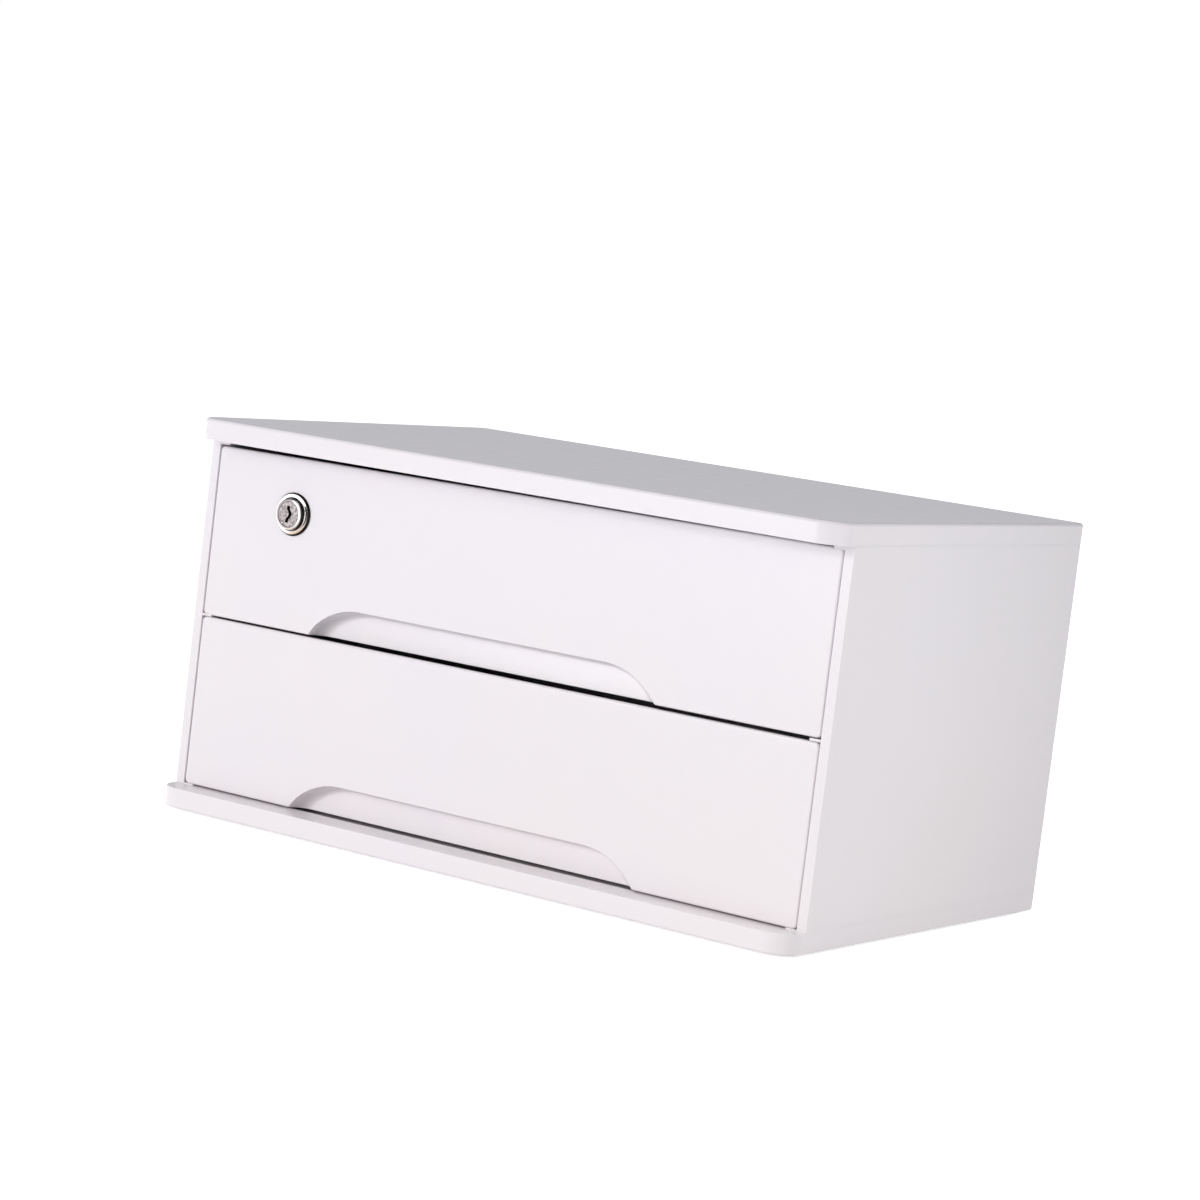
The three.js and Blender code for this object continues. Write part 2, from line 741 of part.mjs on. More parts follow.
// Drawer tray: an open box whose front wall also closes the back of the drawer front.
function drawerTray(withLock) {
  const bottom = trayLift;
  const top = trayTop;
  const radius = trayCornerRadius;
  const outside = roundedRectangle(-trayHalf, trayHalf, trayStart, trayEnd, [0, 0, radius, radius]);
  const ring = (inset, z) => {
    const half = trayHalf - inset;
    return roundedRing(-half, half, trayStart + inset, trayEnd - inset, radius - inset / 2, z);
  };
  const inside = loft([
    ring(trayWall + trayDraft, bottom + trayFloor),
    ring(trayWall, top),
    ring(trayWall, top + overrun),
  ]);
  const lugs = sides.map(([, side]) => {
    const shape = new THREE.Shape();
    shape.moveTo(side * (trayHalf - trayWall / 2), lugFront);
    shape.lineTo(side * (innerHalf - fitGap - traySideGap / 2), lugFront);
    shape.lineTo(side * (innerHalf - fitGap - traySideGap / 2), lugFront + lugLength / 2);
    shape.lineTo(side * (trayHalf - trayWall / 2), lugFront + lugLength);
    return prismUp(shape, bottom + lugLift, bottom + lugLift + lugHeight);
  });
  const tub = cut(prismUp(outside, bottom, top), inside);
  const through = (radius, x, z) => roundBack(radius, trayStart - overrun, trayFrontInside + overrun, x, z);
  const spotFace = (radius, x, z) => roundBack(radius, trayFrontInside, trayFrontInside + overrun, x, z);
  const holes = frontScrews.flatMap(([, x, z]) => {
    return [through(screwShankRadius + fitGap, x, z), spotFace(screwHeadRadius + fitGap, x, z)];
  });
  if (withLock) {
    holes.push(through(barrelRadius + fitGap, lockX, lockAboveFront));
    holes.push(spotFace(nutRadius + fitGap, lockX, lockAboveFront));
  }
  return cut(join(tub, ...lugs), ...holes);
}

// Lock: its axis runs along +y from the face of the drawer front.
function lockBarrel() {
  const bore = plugRadius + turnGap;
  const profile = [
    [bore, -lockProtrusion],
    [collarFaceRadius - seatGap, -lockProtrusion],
    [collarFaceRadius + (collarRadius - collarFaceRadius) / 2, -lockProtrusion + fitGap],
    [collarRadius, -flangeThickness - fitGap],
    [collarRadius + fitGap, -flangeThickness],
    [flangeRadius - flangeThickness / 2, -flangeThickness],
    [flangeRadius, -flangeThickness / 2],
    [flangeRadius, -seatGap],
    [barrelRadius, -seatGap],
    [barrelRadius, barrelRear],
    [bore, barrelRear],
    [bore, -lockProtrusion],
  ].map(([r, y]) => new THREE.Vector2(r, y));
  const turned = new THREE.LatheGeometry(profile, roundSteps);
  const wide = barrelRadius + overrun;
  const flats = sides.map(([, side]) => {
    const [z0, z1] = between(side, barrelFlat, wide);
    return block(-wide, wide, fitGap, barrelRear + overrun, z0, z1);
  });
  return cut(turned, ...flats);
}

function keyway() {
  const waveShares = [[-1, -0.6], [-0.6, -0.45], [-0.3, 0.5], [0, 0.95], [0.3, 0.6], [0.55, -0.1], [1, -0.3]];
  const half = keywayHeight / 2;
  const left = waveShares.map(([v, u]) => [u * keywayWave - keywayWidth / 2, v * half]);
  const right = waveShares.map(([v, u]) => [u * keywayWave + keywayWidth / 2, v * half]).reverse();
  const shape = new THREE.Shape([...left, ...right].map(([x, z]) => new THREE.Vector2(x, z)));
  return prismBack(shape, -lockProtrusion - overrun, -lockProtrusion + keywayDepth);
}

function lockPlug() {
  const tailHalf = tailSide / 2;
  const face = -lockProtrusion + seatGap;
  const core = roundBack(plugRadius, face, barrelRear, 0, 0);
  const tail = block(-tailHalf, tailHalf, barrelRear - overrun, barrelRear + tailLength - camThickness, -tailHalf, tailHalf);
  const threadRadius = camScrewShank + fitGap;
  const thread = roundBack(threadRadius, barrelRear - camScrewLength, barrelRear + tailLength, 0, 0);
  return cut(join(core, tail), keyway(), thread);
}

function lockNut() {
  const hexagon = new THREE.CylinderGeometry(nutRadius, nutRadius, nutThickness, 6);
  const start = trayFrontInside + seatGap;
  hexagon.translate(0, start + nutThickness / 2, 0);
  const bore = roundBack(barrelRadius + fitGap, start - overrun, start + nutThickness + overrun);
  return cut(hexagon, bore);
}

// The cam points to the left when the lock is open.
function lockCam() {
  const shape = new THREE.Shape();
  const tipCentre = -(camReach - camTipRadius);
  shape.absarc(0, 0, camHubRadius, -Math.PI / 2, Math.PI / 2, false);
  shape.absarc(tipCentre, 0, camTipRadius, Math.PI / 2, 1.5 * Math.PI, false);
  const plate = prismBack(shape, camFront, camFront + camThickness);
  const half = tailSide / 2 + fitGap;
  return cut(plate, block(-half, half, camFront - overrun, camFront + camThickness + overrun, -half, half));
}

function lockWasher() {
  const start = camFront + camThickness + seatGap;
  const disc = roundBack(washerRadius, start, start + washerThickness);
  return cut(disc, roundBack(camScrewShank + fitGap, start - overrun, start + washerThickness + overrun));
}

function lockSet() {
  const group = new THREE.Group();
  group.position.set(lockX, 0, lockAboveFront);
  group.add(mesh('lock_barrel', lockBarrel(), chrome));
  group.add(mesh('lock_plug', lockPlug(), satin));
  group.add(mesh('lock_nut', lockNut(), zinc));
  group.add(mesh('lock_cam', lockCam(), zinc));
  group.add(mesh('lock_washer', lockWasher(), zinc));
  const screw = mesh('lock_cam_screw', camScrew(), zinc);
  screw.position.y = camFront + camThickness + washerThickness + 2 * seatGap;
  group.add(screw);
  return group;
}

// The same pan-head screw, turned round so that it drives forward into the plug.
function camScrew() {
  return panScrew(camScrewShank, camScrewHead, camScrewHeadHeight, camScrewLength).rotateX(Math.PI);
}

function drawer(name, bottom, withLock) {
  const group = new THREE.Group();
  group.position.set(0, frontPlane, bottom);
  group.add(mesh(`${name}_drawer_front`, drawerFront(withLock), white));
  group.add(mesh(`${name}_drawer_tray`, drawerTray(withLock), innerWhite));
  for (const [place, x, z] of frontScrews) {
    const geometry = panScrew(screwShankRadius, screwHeadRadius, screwHeadHeight, screwLength);
    const screw = mesh(`${name}_front_screw_${place}`, geometry.rotateX(Math.PI), zinc);
    screw.position.set(x, trayFrontInside + seatGap, z);
    group.add(screw);
  }
  if (withLock) group.add(lockSet());
  return group;
}

function housing() {
  const group = new THREE.Group();
  group.add(mesh('top_panel', topPanel(), white));
  group.add(mesh('base_panel', basePanel(), white));
  group.add(mesh('back_panel', backPanel(), innerWhite));
  const screwNames = ['left', 'middle', 'right'];
  backScrewColumns.forEach((x, i) => {
    const geometry = panScrew(screwShankRadius, screwHeadRadius, screwHeadHeight, screwLength);
    const screw = mesh(`back_screw_${screwNames[i]}`, geometry.rotateX(Math.PI), zinc);
    screw.position.set(x, backPanelRear + seatGap, backBossMiddle);
    group.add(screw);
  });
  for (const [name, side] of sides) {
    group.add(mesh(`side_panel_${name}`, sidePanel(side), white));
    group.add(mesh(`side_rail_${name}`, sideRail(side), milky));
    group.add(mesh(`floor_glide_${name}`, floorGlide(side), milky));
  }
  for (const [name, x, y] of feet) {
    group.add(mesh(`foot_${name}`, foot(x, y), rubber));
  }
  return group;
}

const cabinet = new THREE.Group();
cabinet.position.z = footStand;
cabinet.add(housing());
cabinet.add(drawer('upper', upperFrontBottom, true));
cabinet.add(drawer('lower', lowerFrontBottom, false));

const fileDrawer = new THREE.Group();
fileDrawer.name = 'desktop_file_drawer';
fileDrawer.add(cabinet);

export default fileDrawer;
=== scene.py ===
# %% [markdown]
# # A desktop file drawer in moulded plastic
# The cabinet stands on a pale surface. Its CAD frame gives every place and size; this lesson
# gives it rounded edges, a chrome lock and believable plastic. The frame is loaded first, and
# everything is deselected, because an operator acts on all that is selected.

import json
from math import cos, hypot, radians, sin

import bmesh
import bpy
from mathutils import Matrix, Vector


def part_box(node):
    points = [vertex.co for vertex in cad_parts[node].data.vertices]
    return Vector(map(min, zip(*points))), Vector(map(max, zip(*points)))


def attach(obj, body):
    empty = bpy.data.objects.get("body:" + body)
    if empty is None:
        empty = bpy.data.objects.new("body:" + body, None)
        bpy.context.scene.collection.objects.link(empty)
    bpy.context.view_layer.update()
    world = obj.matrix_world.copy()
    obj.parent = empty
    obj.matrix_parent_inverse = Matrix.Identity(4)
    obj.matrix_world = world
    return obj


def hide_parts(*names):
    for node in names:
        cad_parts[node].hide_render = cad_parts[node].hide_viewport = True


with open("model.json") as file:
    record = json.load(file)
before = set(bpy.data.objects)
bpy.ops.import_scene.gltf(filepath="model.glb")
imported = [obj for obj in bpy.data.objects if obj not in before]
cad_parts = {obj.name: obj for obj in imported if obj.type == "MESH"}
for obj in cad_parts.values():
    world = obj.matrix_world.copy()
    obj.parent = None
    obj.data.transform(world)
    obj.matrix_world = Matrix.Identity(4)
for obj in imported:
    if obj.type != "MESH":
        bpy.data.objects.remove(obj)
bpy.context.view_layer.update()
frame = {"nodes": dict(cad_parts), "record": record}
bpy.ops.object.select_all(action="DESELECT")
MM = 0.001
MIDDLE = (0.0, 0.0, 0.1)
print("loaded", len(frame["nodes"]), "nodes")

# %% [markdown]
# ## Camera
# The photograph is taken with a long lens from the right, slightly above, and a little rolled.
# A camera could be aimed by eye, but straight edges of the cabinet give its three angles and its
# place exactly, so they are written down here as angles and turned into a matrix.

# %% Camera
AZIMUTH = radians(33.337)
ELEVATION = radians(5.74)
ROLL = radians(6.902)
CAMERA_PLACE = Vector((0.97387, -1.50383, 0.3132))
LENS = 106.217
SENSOR_WIDTH = 36.0

away = Vector((sin(AZIMUTH) * cos(ELEVATION), -cos(AZIMUTH) * cos(ELEVATION), sin(ELEVATION)))
level = Vector((cos(AZIMUTH), sin(AZIMUTH), 0.0))
upright = away.cross(level)
right = level * cos(ROLL) + upright * sin(ROLL)
up = upright * cos(ROLL) - level * sin(ROLL)
turn = Matrix((right, up, away)).transposed().to_4x4()

camera_data = bpy.data.cameras.new("camera")
camera_data.sensor_width = SENSOR_WIDTH
camera_data.lens = LENS
camera = bpy.data.objects.new("camera", camera_data)
camera.matrix_world = Matrix.Translation(CAMERA_PLACE) @ turn
bpy.context.scene.collection.objects.link(camera)
bpy.context.scene.camera = camera
print("camera distance", round((CAMERA_PLACE - Vector(MIDDLE)).length, 3), "m")

# %% [markdown]
# ## Shader helpers
# A material is a small graph of nodes. These helpers keep each graph short. They make a material
# and its shader, make a noise on object coordinates, tilt a noise so that it rises towards the
# floor, and lead a noise into a number, a colour or a bump. Most of a noise lies between 0.35 and
# 0.65. Object coordinates are metres here, so a scale of 100 is a 10 mm pattern.

# %% Shader helpers
NOISE_LOW = 0.35
NOISE_HIGH = 0.65


def new_material(name):
    material = bpy.data.materials.new(name)
    material.use_nodes = True
    tree = material.node_tree
    return material, tree, tree.nodes["Principled BSDF"]


def object_place(tree):
    return tree.nodes.new("ShaderNodeTexCoord").outputs["Object"]


def object_noise(tree, scale, detail=2.0):
    noise = tree.nodes.new("ShaderNodeTexNoise")
    noise.inputs["Scale"].default_value = scale
    noise.inputs["Detail"].default_value = detail
    tree.links.new(object_place(tree), noise.inputs["Vector"])
    return noise.outputs["Fac"]


def lower_is_higher(tree, factor, slope):
    parts = tree.nodes.new("ShaderNodeSeparateXYZ")
    tree.links.new(object_place(tree), parts.inputs["Vector"])
    lean = tree.nodes.new("ShaderNodeMath")
    lean.operation = "MULTIPLY_ADD"
    lean.inputs[1].default_value = -slope
    tree.links.new(parts.outputs["Z"], lean.inputs[0])
    tree.links.new(factor, lean.inputs[2])
    return lean.outputs["Value"]


def spread(tree, factor, low, high, socket):
    reach = tree.nodes.new("ShaderNodeMapRange")
    reach.inputs["From Min"].default_value = NOISE_LOW
    reach.inputs["From Max"].default_value = NOISE_HIGH
    reach.inputs["To Min"].default_value = low
    reach.inputs["To Max"].default_value = high
    tree.links.new(factor, reach.inputs["Value"])
    tree.links.new(reach.outputs["Result"], socket)


def blend_colours(tree, factor, first, second, socket, low_at=NOISE_LOW, high_at=NOISE_HIGH):
    ramp = tree.nodes.new("ShaderNodeValToRGB")
    ramp.color_ramp.elements[0].position = low_at
    ramp.color_ramp.elements[0].color = (*first, 1.0)
    ramp.color_ramp.elements[1].position = high_at
    ramp.color_ramp.elements[1].color = (*second, 1.0)
    tree.links.new(factor, ramp.inputs["Fac"])
    tree.links.new(ramp.outputs["Color"], socket)


def add_bump(tree, shader, height, strength, distance):
    bump = tree.nodes.new("ShaderNodeBump")
    bump.inputs["Strength"].default_value = strength
    bump.inputs["Distance"].default_value = distance
    tree.links.new(height, bump.inputs["Height"])
    tree.links.new(bump.outputs["Normal"], shader.inputs["Normal"])


print("shader helpers ready")

# %% [markdown]
# ## White plastic
# The housing and the drawer fronts are glossy moulded plastic. Real moulded sheet is never quite
# flat or even: it has a faint waviness, a slightly uneven gloss and a hint of warm and cool
# patches. The patches also lean cooler towards the top and warmer towards the floor, which is a
# painted reflected tint. All of it is so weak that it only shows as life in the reflections. A
# little light also travels under the surface, which softens small shadows.

# %% White plastic
PATCH_SCALE = 9.0
# How far the patches lean warm towards the floor and cool towards the top: a painted reflected
# tint.
PAINTED_WARMTH_LEAN = 2.0
PATCH_LOW = 0.05
PATCH_HIGH = 0.65
GLOSS_SCALE = 90.0
PEEL_SCALE = 320.0
PEEL_HEIGHT = 0.2 * MM
FINE_DETAIL = 3.0


def moulded_plastic(name, cool, warm, gloss, orange_peel):
    material, tree, shader = new_material(name)
    shader.inputs["IOR"].default_value = 1.5
    shader.inputs["Subsurface Weight"].default_value = 0.25
    shader.inputs["Subsurface Radius"].default_value = (1.0, 0.9, 0.85)
    shader.inputs["Subsurface Scale"].default_value = 1.5 * MM
    # Random tone patches, tilted so that the lower part is warmer: partly the plastic's own tone,
    # partly painted warm reflection.
    patches_and_painted_warmth = lower_is_higher(tree, object_noise(tree, PATCH_SCALE), PAINTED_WARMTH_LEAN)
    blend_colours(tree, patches_and_painted_warmth, cool, warm, shader.inputs["Base Color"], PATCH_LOW, PATCH_HIGH)
    gloss_noise = object_noise(tree, GLOSS_SCALE, FINE_DETAIL)
    spread(tree, gloss_noise, gloss[0], gloss[1], shader.inputs["Roughness"])
    add_bump(tree, shader, object_noise(tree, PEEL_SCALE, FINE_DETAIL), orange_peel, PEEL_HEIGHT)
    return material


glossy_white = moulded_plastic(
    "glossy_white", cool=(0.859, 0.826, 0.871), warm=(0.883, 0.836, 0.85),
    gloss=(0.22, 0.24), orange_peel=0.06)
satin_white = moulded_plastic(
    "satin_white", cool=(0.75, 0.727, 0.752), warm=(0.78, 0.749, 0.766),
    gloss=(0.42, 0.5), orange_peel=0.2)
milky_acetal = moulded_plastic(
    "milky_acetal", cool=(0.72, 0.71, 0.66), warm=(0.76, 0.745, 0.69),
    gloss=(0.35, 0.45), orange_peel=0.15)
print("plastics ready")

# %% [markdown]
# ## Rubber and plating
# The feet are dark rubber with a powdery grain. The screws are zinc plated, with a faint
# crystalline mottling: a coarse noise for the colour and finer ones for the gloss and the bump.

# %% Rubber and plating
RUBBER_GRAIN = 900.0
ZINC_GRAIN = 260.0


def foot_rubber():
    material, tree, shader = new_material("foot_rubber")
    blend_colours(tree, object_noise(tree, RUBBER_GRAIN), (0.05, 0.05, 0.052), (0.09, 0.09, 0.092),
                  shader.inputs["Base Color"])
    spread(tree, object_noise(tree, RUBBER_GRAIN / 3), 0.75, 0.9, shader.inputs["Roughness"])
    add_bump(tree, shader, object_noise(tree, RUBBER_GRAIN * 2), 0.3, 0.2 * MM)
    return material


def zinc_plated():
    material, tree, shader = new_material("zinc_plating")
    shader.inputs["Metallic"].default_value = 1.0
    blend_colours(tree, object_noise(tree, ZINC_GRAIN), (0.5, 0.51, 0.53), (0.62, 0.63, 0.65),
                  shader.inputs["Base Color"])
    spread(tree, object_noise(tree, ZINC_GRAIN * 3), 0.28, 0.4, shader.inputs["Roughness"])
    add_bump(tree, shader, object_noise(tree, ZINC_GRAIN * 6), 0.05, 0.1 * MM)
    return material


black_rubber = foot_rubber()
zinc_plating = zinc_plated()
print("rubber and plating ready")

# %% [markdown]
# ## The lock's metals
# The lock's bezel is stepped chrome: its flat rings mirror the bright studio, and the walls of its
# two steps look black. A mirror finish alone would leave that to chance, so these reflections are
# painted into its colour: bright rings and black crescents follow the distance from a point close
# to the lock's axis, in a ramp from 6 to 11 mm, with a dull grey innermost ring. A painted warm
# reflection comes in at its lower right. The plug is cast and turned metal: mottled, with fine
# rings from a wave pattern round the same axis.

# %% The lock's metals
LOCK_X = -133.0 * MM
LOCK_Z = 159.3 * MM
RING_SHIFT = 0.4 * MM
RING_START = 6.0 * MM
RING_END = 11.0 * MM
PAINTED_BRIGHT_REFLECTION = (0.74, 0.72, 0.71, 1.0)
PAINTED_BLACK_REFLECTION = (0.02, 0.017, 0.016, 1.0)
DULL = (0.36, 0.33, 0.33, 1.0)
# Painted reflections by radius: bright where the flat rings mirror the studio, black where the
# step walls mirror dark.
PAINTED_REFLECTION_RINGS = (
    (0.0, DULL), (0.2, DULL), (0.24, PAINTED_BRIGHT_REFLECTION), (0.4, PAINTED_BRIGHT_REFLECTION), (0.44, PAINTED_BLACK_REFLECTION), (0.5, PAINTED_BLACK_REFLECTION),
    (0.54, PAINTED_BRIGHT_REFLECTION), (0.8, PAINTED_BRIGHT_REFLECTION), (0.86, PAINTED_BLACK_REFLECTION))
# A painted warm reflection that grows towards the lock's lower right.
PAINTED_WARM_REFLECTION = (0.5, 0.39, 0.29, 1.0)
PAINTED_WARM_DIRECTION = (0.5, 0.0, -0.85)
PAINTED_WARM_START = 5.5 * MM
PAINTED_WARM_END = 10.0 * MM
CHROME_GRAIN = 360.0
CAST_GRAIN = 1100.0
CAST_GLOSS_SCALE = 700.0
TURNED_RINGS = 900.0


def place_on_lock(tree, shift=0.0):
    centre = tree.nodes.new("ShaderNodeMapping")
    centre.inputs["Location"].default_value = (shift - LOCK_X, 0.0, -LOCK_Z)
    centre.inputs["Scale"].default_value = (1.0, 0.0, 1.0)
    tree.links.new(object_place(tree), centre.inputs["Vector"])
    return centre.outputs["Vector"]


def share_of_reach(tree, value, start, end):
    reach = tree.nodes.new("ShaderNodeMapRange")
    reach.inputs["From Min"].default_value = start
    reach.inputs["From Max"].default_value = end
    tree.links.new(value, reach.inputs["Value"])
    return reach.outputs["Result"]


# Paints the chrome's reflections as rings of colour by distance from the lock's axis.
def painted_reflection_rings(tree, place):
    radius = tree.nodes.new("ShaderNodeVectorMath")
    radius.operation = "LENGTH"
    tree.links.new(place, radius.inputs[0])
    rings = tree.nodes.new("ShaderNodeValToRGB")
    stops = rings.color_ramp.elements
    for position, colour in PAINTED_REFLECTION_RINGS:
        stop = stops.new(position) if position > 0.0 else stops[0]
        stop.color = colour
    stops.remove(stops[-1])
    share = share_of_reach(tree, radius.outputs["Value"], RING_START, RING_END)
    tree.links.new(share, rings.inputs["Fac"])
    return rings.outputs["Color"]


# Multiplies the ring colours by a painted warm reflection towards the lower right.
def painted_warm_reflection_at_lower_right(tree, place, colours):
    distance = tree.nodes.new("ShaderNodeVectorMath")
    distance.operation = "DOT_PRODUCT"
    distance.inputs[1].default_value = PAINTED_WARM_DIRECTION
    tree.links.new(place, distance.inputs[0])
    tint = tree.nodes.new("ShaderNodeMix")
    tint.data_type = "RGBA"
    tint.blend_type = "MULTIPLY"
    tint.inputs["B"].default_value = PAINTED_WARM_REFLECTION
    share = share_of_reach(tree, distance.outputs["Value"], PAINTED_WARM_START, PAINTED_WARM_END)
    tree.links.new(share, tint.inputs["Factor"])
    tree.links.new(colours, tint.inputs["A"])
    return tint.outputs["Result"]


# Chrome whose base colour carries painted reflections: bright rings, black crescents and a warm
# patch at the lower right.
def chrome_with_painted_reflections():
    material, tree, shader = new_material("chrome_with_painted_reflections")
    shader.inputs["Metallic"].default_value = 1.0
    place = place_on_lock(tree, RING_SHIFT)
    colours = painted_warm_reflection_at_lower_right(tree, place, painted_reflection_rings(tree, place))
    tree.links.new(colours, shader.inputs["Base Color"])
    spread(tree, object_noise(tree, CHROME_GRAIN), 0.06, 0.14, shader.inputs["Roughness"])
    add_bump(tree, shader, object_noise(tree, CHROME_GRAIN * 2), 0.04, 0.1 * MM)
    return material


def turned_metal():
    material, tree, shader = new_material("turned_metal")
    shader.inputs["Metallic"].default_value = 1.0
    mottling = object_noise(tree, CAST_GRAIN, FINE_DETAIL)
    blend_colours(tree, mottling, (0.15, 0.13, 0.13), (0.4, 0.365, 0.365),
                  shader.inputs["Base Color"])
    spread(tree, object_noise(tree, CAST_GLOSS_SCALE), 0.3, 0.42, shader.inputs["Roughness"])
    rings = tree.nodes.new("ShaderNodeTexWave")
    rings.wave_type = "RINGS"
    rings.rings_direction = "Y"
    rings.inputs["Scale"].default_value = TURNED_RINGS
    rings.inputs["Distortion"].default_value = 0.4
    tree.links.new(place_on_lock(tree), rings.inputs["Vector"])
    add_bump(tree, shader, rings.outputs["Fac"], 0.15, 0.03 * MM)
    return material


lock_chrome = chrome_with_painted_reflections()
lock_satin = turned_metal()
print("lock metals ready")

# %% [markdown]
# ## Materials for the CAD nodes
# Most nodes already have the right shape, so they only take a material. A table from the
# beginning of a node's name to its finish keeps this in one place.

# %% Materials for the CAD nodes
FINISHES = {
    "top_panel": glossy_white, "base_panel": glossy_white, "side_panel": glossy_white,
    "upper_drawer_front": glossy_white, "lower_drawer_front": glossy_white,
    "back_panel": satin_white, "upper_drawer_tray": satin_white, "lower_drawer_tray": satin_white,
    "side_rail": milky_acetal, "floor_glide": milky_acetal, "foot": black_rubber,
    "lock_barrel": lock_chrome, "lock_plug": lock_satin,
}


def finish_of(node):
    for start, material in FINISHES.items():
        if node.startswith(start):
            return material
    return zinc_plating


def give_material(obj, material):
    obj.data.materials.clear()
    obj.data.materials.append(material)


for name in frame["nodes"]:
    give_material(bpy.data.objects[name], finish_of(name))
print("finished nodes:", len(frame["nodes"]))

# %% [markdown]
# ## Small fits
# Three details are smaller than the solids hold. The rear corners of the housing are tightened
# from 12 to 5 mm by moving their arcs outwards. The drawer fronts hang a little out of true: each
# edge is moved by less than 1.3 mm, so the gap over the upper front narrows to the right and the
# line between the fronts stays black. A shallow groove behind the base's ledge keeps light out of
# the gap under the lower front.

# %% Small fits
CORNER_CENTRE = (178.0 * MM, 113.0 * MM)
CORNER_SHIFT = 7.0 * MM
CORNER_TOLERANCE = 0.01 * MM
GROOVE_START = -106.2 * MM
GROOVE_WIDTH = 30.0 * MM
GROOVE_DEPTH = 1.8 * MM
GROOVE_INSET = 6.0 * MM
FRONT_MARGIN = 2.6 * MM
SIDE_MARGIN = 3.0 * MM
SIDE_STEP = 0.2 * MM
SIDE_REACH = 0.25 * MM
HOUSING_PANELS = ("top_panel", "base_panel", "side_panel_left", "side_panel_right")
# For each front: drop of the lower edge at the left and the right, then how far the upper edge
# sinks at the left and rises at the right.
FRONT_SHIFTS = {"upper_drawer_front": (0.8 * MM, -0.2 * MM, 0.5 * MM, 1.2 * MM),
                "lower_drawer_front": (0.4 * MM, 0.4 * MM, 0.0, 0.0)}


def tighten_rear_corners(piece):
    for corner in piece.data.vertices:
        across = abs(corner.co.x) - CORNER_CENTRE[0]
        along = corner.co.y - CORNER_CENTRE[1]
        if min(across, along) < -CORNER_TOLERANCE:
            continue
        keep = 1.0 - CORNER_SHIFT / hypot(across, along)
        x = CORNER_CENTRE[0] + CORNER_SHIFT + across * keep
        corner.co.x = x if corner.co.x > 0.0 else -x
        corner.co.y = CORNER_CENTRE[1] + CORNER_SHIFT + along * keep


def fit_front_gaps(piece, node):
    low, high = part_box(node)
    left_drop, right_drop, left_sink, right_lift = FRONT_SHIFTS[node]
    for corner in piece.data.vertices:
        share = (corner.co.x - low[0]) / (high[0] - low[0])
        if corner.co.z < low[2] + FRONT_MARGIN:
            corner.co.z -= left_drop + (right_drop - left_drop) * share
        elif corner.co.z > high[2] - FRONT_MARGIN:
            corner.co.z += right_lift * share - left_sink * (1.0 - share)
        if high[0] - SIDE_MARGIN < abs(corner.co.x) < high[0] - SIDE_STEP:
            corner.co.x += SIDE_REACH if corner.co.x > 0.0 else -SIDE_REACH


def cut_front_groove(piece):
    low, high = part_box("base_panel")
    middle = (0.0, GROOVE_START + GROOVE_WIDTH / 2, high[2])
    bpy.ops.mesh.primitive_cube_add(size=1.0, location=middle)
    cutter = bpy.context.object
    cutter.scale = (high[0] - low[0] - 2 * GROOVE_INSET, GROOVE_WIDTH, 2 * GROOVE_DEPTH)
    bpy.ops.object.transform_apply(location=True, rotation=True, scale=True)
    cutter.select_set(False)
    bpy.context.view_layer.objects.active = piece
    groove = piece.modifiers.new("groove", "BOOLEAN")
    groove.operation = "DIFFERENCE"
    groove.object = cutter
    bpy.ops.object.modifier_apply(modifier="groove")
    bpy.data.objects.remove(cutter)
    piece.select_set(True)


print("fits ready for", len(HOUSING_PANELS) + len(FRONT_SHIFTS), "panels")

# %% [markdown]
# ## Rounded edges
# A moulded edge is never sharp: it catches a thin line of light. Each panel that shows is copied
# from its CAD node, its loose triangles are merged into one skin, and a narrow bevel goes along
# its edges. Copying is better than building anew here, because the panels have to meet their
# neighbours exactly. Where two panels meet flush, the real cabinet shows no seam, so the edges in
# those two planes are given no bevel weight. Weighted normals keep the large faces flat in the
# light. The copy then replaces the node.

# %% Rounded edges
BAND_HEIGHT = 10.8 * MM
SEAM_LEVELS = (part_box("base_panel")[1][2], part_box("top_panel")[1][2] - BAND_HEIGHT)
SEAM_TOLERANCE = 0.02 * MM
MERGE_DISTANCE = 0.002 * MM
FLAT_ANGLE = radians(0.5)
SHARP_ANGLE = radians(40)
SMOOTH_ANGLE = radians(35)


def body_with(node):
    for body, nodes in frame["record"]["behaviour"]["bodies"].items():
        if node in nodes:
            return body
    raise ValueError(node)


def on_seam(edge):
    for height in SEAM_LEVELS:
        if all(abs(corner.co.z - height) < SEAM_TOLERANCE for corner in edge.verts):
            return True
    return False


def merged_copy(node):
    bpy.ops.object.select_all(action="DESELECT")
    source = bpy.data.objects[node]
    piece = source.copy()
    piece.data = source.data.copy()
    piece.name = node + "_dressed"
    bpy.context.scene.collection.objects.link(piece)
    bpy.context.view_layer.objects.active = piece
    piece.select_set(True)
    bpy.ops.object.mode_set(mode="EDIT")
    bpy.ops.mesh.select_all(action="SELECT")
    bpy.ops.mesh.remove_doubles(threshold=MERGE_DISTANCE)
    bpy.ops.mesh.dissolve_limited(angle_limit=FLAT_ANGLE)
    bpy.ops.object.mode_set(mode="OBJECT")
    return piece


def weigh_edges(piece):
    mesh = bmesh.new()
    mesh.from_mesh(piece.data)
    weights = mesh.edges.layers.float.new("bevel_weight_edge")
    for edge in mesh.edges:
        sharp = edge.is_manifold and edge.calc_face_angle(0.0) > SHARP_ANGLE
        edge[weights] = 1.0 if sharp and not on_seam(edge) else 0.0
    mesh.to_mesh(piece.data)
    mesh.free()


